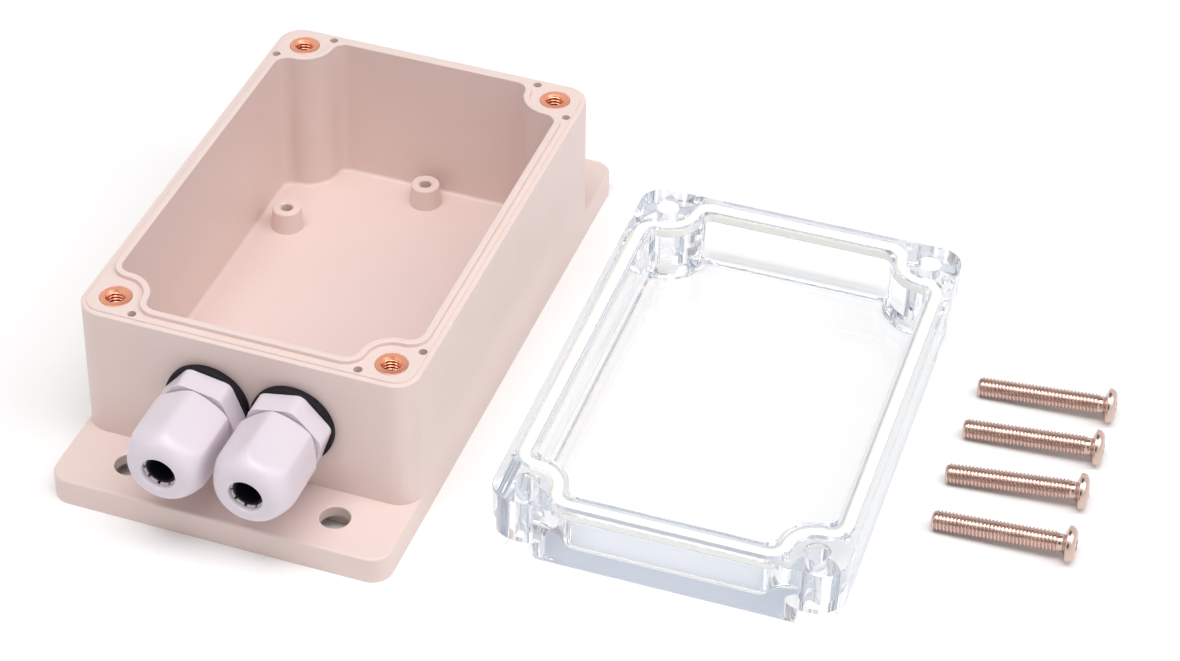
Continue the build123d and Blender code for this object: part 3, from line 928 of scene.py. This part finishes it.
class ENCLOSURE_OT_screws(bpy.types.Operator):
    """Makes the four loose lid screws with their threads and cross recesses"""

    bl_idname = "enclosure.screws"
    bl_label = "Lid screws"

    def execute(self, context):
        settings = context.scene.enclosure_metal
        pitch, depth = settings.thread_pitch * 1000, settings.thread_depth * 1000
        thread_foot = screw_tip_chamfer - screw_length
        thread_end = -screw_neck_length - screw_run_out
        tip_r = screw_r - screw_tip_chamfer
        head = soften(
            (screw_r, thread_end),
            (screw_neck_r, -screw_neck_length),
            (screw_neck_r, 0, 0.3),
            (screw_head_r, screw_cone, 0.3),
            (screw_head_r, screw_head_height, screw_head_edge_r),
            (recess_reach * 0.2, screw_head_height),
            steps=9,
        )
        profile = np.vstack(
            [
                [(tip_r - 0.1, -screw_length), (tip_r, 0.02 - screw_length)],
                straight(screw_r, thread_foot, thread_end, 340),
                head[1:],
            ]
        )

        def with_thread(turn, along, r):
            """Groove of the thread between the tip and the neck."""
            return r - thread(turn, along, pitch, depth, -screw_length, -screw_neck_length)

        # The recess narrows towards its foot, its arms less in width than in reach
        low, high = screw_head_height - recess_depth, screw_head_height + 0.4
        taper = math.tan(math.radians(recess_taper)) * (high - low)
        quarter_turn = np.array([(0, 1), (-1, 0)])
        crosses = []
        for less in (taper, 0):
            reach, half = recess_reach - less, recess_half_width - less * 0.6
            arms = [np.array([(reach, -half), (reach, half), (half, half)])]
            for _ in range(3):
                arms.append(arms[-1] @ quarter_turn)
            crosses.append(np.vstack(arms))
        recess = skin(stacked(zip(crosses, (low, high))))
        metal = machined_metal(
            "nickel-plated steel screw, rolled thread",
            settings.screw_colour,
            roughness=0.2,
            mark=0.3,
            relief=0.002,
        )
        # A screw lies on the end of its thread and on the rim of its head, which is wider
        slope = math.atan2(screw_head_r - screw_r, -thread_foot)
        for number, (x, y, heading) in enumerate(screw_tips, start=1):
            away = np.array((math.cos(math.radians(heading)), math.sin(math.radians(heading))))
            up = np.append(away * math.cos(slope), math.sin(slope))
            side = np.array((-away[1], away[0], 0))
            head_place = (x, y) + screw_length * math.cos(slope) * away
            origin = np.append(head_place, screw_head_r * math.cos(slope))
            place = np.column_stack([side, np.cross(up, side), up, origin])
            shell = skin(turned(profile, 48, with_thread))
            piece = new_object(f"lid_screw_{number}_threaded", [shell], place)
            carve(piece, [recess], "DIFFERENCE", place)
            finished(piece, [f"lid_screw_{number}"], metal)
        return {"FINISHED"}


class ENCLOSURE_OT_glands(bpy.types.Operator):
    """Makes the cable glands: washer, body, locknut, clamping fingers, sleeve and dome nut"""

    bl_idname = "enclosure.glands"
    bl_label = "Cable glands"

    def execute(self, context):
        settings = context.scene.enclosure_gland
        pitch = settings.thread_pitch * 1000
        nylon = moulded(
            "pale grey nylon, smooth moulded",
            settings.colour,
            roughness=0.34,
            grain=0.6,
            relief=0.01,
            ior=1.53,
        )
        rubber = moulded(
            "black nitrile rubber",
            settings.rubber,
            roughness=0.65,
            grain=0.3,
            relief=0.012,
            ior=1.52,
            specular=0.25,
        )

        washer = soften(
            (washer_bore_r, 0.0),
            (gland_corner_r - 0.08, 0.0, 0.25),
            (gland_corner_r, washer_thickness / 2, 0.6),
            (gland_corner_r - 0.08, washer_thickness, 0.25),
            (washer_bore_r, washer_thickness),
        )
        flange = soften(
            (shank_r, washer_thickness),
            (gland_corner_r + 0.3, washer_thickness, 0.3),
            (gland_corner_r + 0.3, flange_end, 0.5),
            (nose_r, flange_end),
        )
        body = np.vstack(
            [
                [(way_r, shank_start), (shank_r - 0.3, shank_start)],
                straight(shank_r, shank_start + 0.3, washer_thickness, 110),
                flange[1:-1],
                straight(nose_r, flange_end, nose_end - 0.4, 60),
                [(nose_r - 0.4, nose_end), (socket_r, nose_end)],
                [(socket_r, socket_start), (way_r, socket_start)],
            ]
        )
        locknut = soften(
            (locknut_bore_r, locknut_start),
            (locknut_corner_r, locknut_start, 0.5),
            (locknut_corner_r, locknut_end, 0.8),
            (locknut_bore_r, locknut_end),
        )
        nut_rear = soften(
            (nut_bore_r, nut_start),
            (nut_rear_r, nut_start, 0.2),
            (nut_corner_r, nut_start + 0.5, 0.3),
            (nut_corner_r, nut_straight_end),
        )
        nut_inside = [
            (nut_mouth_r, nut_lip_start),
            (nut_cone_front_r, nut_lip_start),
            (nut_cone_rear_r, nut_bore_end),
            (nut_bore_r, nut_bore_end),
        ]
        nut = np.vstack([nut_rear[:-1], dome_curve(), nut_inside])
        sleeve = soften(
            (sleeve_bore_r, sleeve_start),
            (sleeve_r, sleeve_start, 0.2),
            (sleeve_r, sleeve_end, 0.2),
            (sleeve_lip_r, sleeve_end, 0.1),
            (sleeve_lip_r, sleeve_lip_end, 0.15),
            (sleeve_bore_r, sleeve_lip_end, 0.15),
            (sleeve_bore_r, sleeve_start),
        )[:-1]
        for side, x in gland_x.items():

            def body_radius(turn, along, r):
                """Hexagon with rounded corners on the flange, threads on the shank and nose."""
                grooves = thread(turn, along, pitch, shank_groove, shank_start, washer_thickness)
                grooves = grooves + thread(turn, along, pitch, nose_groove, flange_end, nose_end)
                threaded = (r > nose_r - 0.01) & (r < shank_r + 0.01)
                flats = hexagon(turn, flange_flats, flange_turns[side])
                limit = softer_of(flats, np.full_like(flats, gland_corner_r), 0.35)
                return softer_of(r, limit, 0.3) - np.where(threaded, grooves, 0)

            def nut_radius(turn, along, r):
                """Hexagon that runs out into the dome's own radius."""
                return softer_of(r, hexagon(turn, nut_flats, nut_turns[side]), 0.8)

            def locknut_radius(turn, along, r):
                """Hexagon with its corners cut by a circle."""
                return softer_of(r, hexagon(turn, locknut_flats, locknut_turn), 0.3)

            # Profile, steps around and change of the radius of each turned part
            forms = {
                "washer": (washer, 96),
                "body": (body, 144, body_radius),
                "locknut": (locknut, 144, locknut_radius),
                "nut": (nut, 192, nut_radius),
                "seal": (sleeve, 64),
            }
            shells = {part: [skin(turned(*form), ring=True)] for part, form in forms.items()}
            shells["claw"] = claw_shells()
            for part, its_shells in shells.items():
                node = f"gland_{part}_{side}"
                soft = part in ("washer", "seal")
                slot, material = ("gland_rubber", rubber) if soft else ("gland_plastic", nylon)
                piece = new_object(f"{node}_looks", its_shells, gland_place(x))
                finished(piece, [node], material)
        return {"FINISHED"}


def dome_curve():
    """Outline of the dome, from the end of the straight part to the mouth.

    It is the circle through the end of the straight part, the bulge and the nose, then a smaller
    circle that touches it from inside and touches the flat end, then a quarter circle into the
    mouth. The small circle's middle lies as far from the large one's as their radii differ.
    """
    a = np.array([nut_corner_r, nut_straight_end])
    b = np.array([nut_bulge_r, nut_bulge_at])
    c = np.array([nut_nose_r, nut_end])
    grid = 2 * np.array([b - a, c - a])
    x, y = np.linalg.solve(grid, np.array([b @ b - a @ a, c @ c - a @ a]))
    r = math.hypot(a[0] - x, a[1] - y)
    nose_y = nut_end - nut_nose_round
    nose_x = x + math.sqrt((r - nut_nose_round) ** 2 - (nose_y - y) ** 2)
    meet = math.atan2(nose_y - y, nose_x - x)
    lip = nut_mouth_r + nut_mouth_round, nut_end - nut_mouth_round
    return np.vstack(
        [
            arc(x, y, r, math.atan2(a[1] - y, a[0] - x), meet, 24)[:-1],
            arc(nose_x, nose_y, nut_nose_round, meet, math.pi / 2, 12),
            arc(*lip, nut_mouth_round, math.pi / 2, math.pi, 7),
        ]
    )


def claw_shells():
    """Ring with fingers: the ring is turned; each finger is its side section swept over its share
    of the circle, less half a slot of constant width, which is an arcsine of width over radius."""
    ring = soften(
        (claw_bore_r, claw_start),
        (claw_r, claw_start, 0.15),
        (claw_r, claw_root + 0.05),
        (claw_bore_r, claw_root + 0.05),
        steps=3,
    )
    section = soften(
        (claw_bore_r, claw_root - 0.2),
        (claw_r, claw_root - 0.2),
        (claw_r, claw_root),
        (claw_front_r, claw_end - 0.3, 0.2),
        (claw_front_r - 0.3, claw_end, 0.1),
        (claw_tip_r, claw_end, 0.2),
        (claw_tip_r, claw_end - claw_tip_length),
        (claw_bore_r, claw_end - claw_tip_length),
        steps=3,
    )
    across = np.linspace(-1, 1, 9)[:, None]
    r = section[:, 0][None, :]
    along = np.repeat(section[:, 1][None, :], len(across), axis=0)
    half = math.pi / finger_count - np.arcsin(finger_slot / 2 / r)
    shells = [skin(turned(ring, 72), ring=True)]
    for k in range(finger_count):
        angle = 2 * math.pi * k / finger_count + across * half
        shells.append(skin(np.stack([r * np.cos(angle), r * np.sin(angle), along], axis=-1)))
    return shells


class ENCLOSURE_OT_stage(bpy.types.Operator):
    """Makes the white table, the soft light and the camera"""

    bl_idname = "enclosure.stage"
    bl_label = "Table, light and camera"

    def execute(self, context):
        settings = context.scene.enclosure_stage
        scene = context.scene
        corners = np.array([(-1, -1), (1, -1), (1, 1), (-1, 1)]) * table_half + table_middle
        points = np.column_stack([corners, np.full(4, table_z)])
        table = new_object("table", [(points, [[0, 1, 2, 3]])])
        table.data.materials.append(table_paper())
        scene.world = studio_world(settings.sky)

        for name, place, size, share in lamps:
            lamp = bpy.data.lights.new(name, "AREA")
            lamp.shape, lamp.size, lamp.size_y = "RECTANGLE", *size
            lamp.energy = settings.lamp_watts * share
            holder = bpy.data.objects.new(name, lamp)
            holder.location = place
            aim = Vector(lamp_aim) - Vector(place)
            holder.rotation_euler = aim.to_track_quat("-Z", "Y").to_euler()
            scene.collection.objects.link(holder)

        camera = bpy.data.cameras.new("camera")
        camera.lens, camera.sensor_width, camera.sensor_fit = camera_lens, 36.0, "HORIZONTAL"
        camera.clip_start, camera.clip_end = 0.01, 20
        eye = bpy.data.objects.new("camera", camera)
        eye.location = camera_place
        eye.rotation_euler = [math.radians(a) for a in camera_turn]
        scene.collection.objects.link(eye)
        scene.camera = eye
        scene.view_settings.view_transform = "Standard"
        return {"FINISHED"}


class ENCLOSURE_PT_sidebar(bpy.types.Panel):
    """Lists the settings and the steps that build the enclosure's looks"""

    bl_idname = "ENCLOSURE_PT_sidebar"
    bl_label = "Waterproof enclosure"
    bl_space_type = "VIEW_3D"
    bl_region_type = "UI"
    bl_category = "Enclosure"

    def draw(self, context):
        for group in setting_groups:
            settings = getattr(context.scene, group)
            for name in settings.__annotations__:
                self.layout.prop(settings, name)
        for step in operators:
            self.layout.operator(step.bl_idname)


setting_groups = {
    "enclosure_box": EnclosureBoxSettings,
    "enclosure_lid": EnclosureLidSettings,
    "enclosure_gland": EnclosureGlandSettings,
    "enclosure_metal": EnclosureMetalSettings,
    "enclosure_stage": EnclosureStageSettings,
}
operators = (
    ENCLOSURE_OT_box,
    ENCLOSURE_OT_inserts,
    ENCLOSURE_OT_lid,
    ENCLOSURE_OT_screws,
    ENCLOSURE_OT_glands,
    ENCLOSURE_OT_stage,
)


def register():
    """Registers the settings, the operators and the panel."""
    for name, group in setting_groups.items():
        bpy.utils.register_class(group)
        setattr(bpy.types.Scene, name, PointerProperty(type=group))
    for made in (*operators, ENCLOSURE_PT_sidebar):
        bpy.utils.register_class(made)


def unregister():
    """Takes the panel, the operators and the settings away again."""
    for made in (ENCLOSURE_PT_sidebar, *reversed(operators)):
        bpy.utils.unregister_class(made)
    for name, group in setting_groups.items():
        delattr(bpy.types.Scene, name)
        bpy.utils.unregister_class(group)


def main():
    register()
    bpy.ops.enclosure.box()
    bpy.ops.enclosure.inserts()
    bpy.ops.enclosure.lid()
    bpy.ops.enclosure.screws()
    bpy.ops.enclosure.glands()
    bpy.ops.enclosure.stage()
    bpy.context.view_layer.update()


if __name__ == "__main__":
    main()
